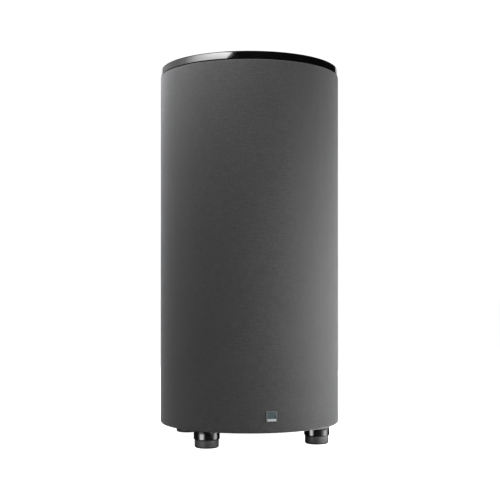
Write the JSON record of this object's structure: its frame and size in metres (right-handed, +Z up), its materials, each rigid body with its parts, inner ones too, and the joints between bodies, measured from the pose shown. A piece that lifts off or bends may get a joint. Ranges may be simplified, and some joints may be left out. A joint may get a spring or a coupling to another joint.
{
  "type": "subwoofer",
  "caption": "Floor-standing powered subwoofer: a tall cylinder in dark stretch fabric with a gloss black top disc, a driver firing down between four feet, and an amplifier panel at the back.",
  "frame": {"origin": "on the floor, at the cylinder's axis", "axes": "+Z up along the cylinder, front with the badge at -Y, amplifier panel at +Y, +X to the right seen from the front"},
  "size_m": [0.422, 0.4254, 0.872],
  "materials": {
    "stretch_fabric": "matte",
    "tube_fibre": "matte",
    "gloss_lacquer": "gloss",
    "black_board": "satin",
    "raw_board": "matte",
    "polyester_wadding": "matte",
    "port_plastic": "satin",
    "port_tube_plastic": "matte",
    "basket_coat": "satin",
    "foam_gasket": "matte",
    "black_screw": "satin",
    "zinc_steel": "satin",
    "ferrite": "matte",
    "terminal_plastic": "satin",
    "surround_rubber": "satin",
    "spider_cloth": "matte",
    "tinsel_braid": "satin",
    "lead_jacket": "satin",
    "cone_paper": "matte",
    "coil_former_foil": "satin",
    "enamelled_copper": "gloss",
    "bezel_plastic": "satin",
    "panel_coat": "satin",
    "grommet_rubber": "matte",
    "circuit_board": "satin",
    "heatsink_alloy": "satin",
    "transformer_core": "matte",
    "smoked_window": "gloss",
    "nickel_contact": "polished",
    "phono_insulator": "gloss",
    "switch_plastic": "satin",
    "lever_plastic": "satin",
    "rocker_plastic": "gloss",
    "button_plastic": "satin",
    "foot_collar_plastic": "gloss",
    "foot_rubber": "matte",
    "bolt_steel": "satin",
    "insert_brass": "satin",
    "badge_metal": "satin",
    "badge_face": "gloss"
  },
  "bodies": {
    "cabinet": {"fabric_wrap": "stretch_fabric", "cabinet_tube": "tube_fibre", "top_cap": "gloss_lacquer", "bottom_baffle": "black_board", "port_brace": "raw_board", "acoustic_wadding": "polyester_wadding", "port_mouth": "port_plastic", "port_inner_flare": "port_plastic", "port_tube": "port_tube_plastic", "driver_basket": "basket_coat", "driver_gasket": "foam_gasket", "driver_screws": "black_screw", "amp_screws": "black_screw", "magnet_top_plate": "zinc_steel", "magnet_yoke": "zinc_steel", "amp_back_box": "zinc_steel", "ferrite_magnets": "ferrite", "driver_terminals": "terminal_plastic", "trigger_jack": "terminal_plastic", "surround": "surround_rubber", "spider": "spider_cloth", "tinsel_leads": "tinsel_braid", "speaker_leads": "lead_jacket", "amp_bezel": "bezel_plastic", "amp_panel": "panel_coat", "lead_grommet": "grommet_rubber", "amp_board": "circuit_board", "control_board": "circuit_board", "amp_heatsink": "heatsink_alloy", "amp_transformer": "transformer_core", "display_window": "smoked_window", "phono_shells": "nickel_contact", "service_port": "nickel_contact", "mains_inlet_pins": "nickel_contact", "phono_insulators": "phono_insulator", "mode_switch_body": "switch_plastic", "power_switch_body": "switch_plastic", "mains_inlet": "switch_plastic", "foot_collar_front_left": "foot_collar_plastic", "foot_collar_front_right": "foot_collar_plastic", "foot_collar_rear_left": "foot_collar_plastic", "foot_collar_rear_right": "foot_collar_plastic", "foot_pad_front_left": "foot_rubber", "foot_pad_front_right": "foot_rubber", "foot_pad_rear_left": "foot_rubber", "foot_pad_rear_right": "foot_rubber", "foot_bolts": "bolt_steel", "foot_inserts": "insert_brass", "badge_frame": "badge_metal", "badge_inset": "badge_face"},
    "cone_assembly": {"cone": "cone_paper", "dust_cap": "cone_paper", "coil_former": "coil_former_foil", "coil_winding": "enamelled_copper"},
    "mode_lever": {"mode_switch_lever": "lever_plastic"},
    "mains_rocker": {"power_rocker": "rocker_plastic"},
    "standby_key": {"button_standby": "button_plastic"},
    "select_key": {"button_select": "button_plastic"},
    "minus_key": {"button_minus": "button_plastic"},
    "plus_key": {"button_plus": "button_plastic"}
  },
  "joints": [
    {"name": "cone_stroke", "type": "slide", "parent": "cabinet", "child": "cone_assembly", "axis": [0, 0, 1], "range_m": [-0.012, 0.012], "stiffness_N_per_m": 5000, "deforming": ["surround", "spider", "tinsel_leads"]},
    {"name": "standby_press", "type": "slide", "parent": "cabinet", "child": "standby_key", "axis": [0, -1, 0], "range_m": [0, 0.0008], "stiffness_N_per_m": 300},
    {"name": "select_press", "type": "slide", "parent": "cabinet", "child": "select_key", "axis": [0, -1, 0], "range_m": [0, 0.0008], "stiffness_N_per_m": 300},
    {"name": "minus_press", "type": "slide", "parent": "cabinet", "child": "minus_key", "axis": [0, -1, 0], "range_m": [0, 0.0008], "stiffness_N_per_m": 300},
    {"name": "plus_press", "type": "slide", "parent": "cabinet", "child": "plus_key", "axis": [0, -1, 0], "range_m": [0, 0.0008], "stiffness_N_per_m": 300},
    {"name": "mode_slide", "type": "slide", "parent": "cabinet", "child": "mode_lever", "axis": [1, 0, 0], "range_m": [-0.003, 0.003]},
    {"name": "mains_rock", "type": "hinge", "parent": "cabinet", "child": "mains_rocker", "pos_m": [-0.044, 0.189, 0.154], "axis": [-1, 0, 0], "range_deg": [0, 18]}
  ]
}
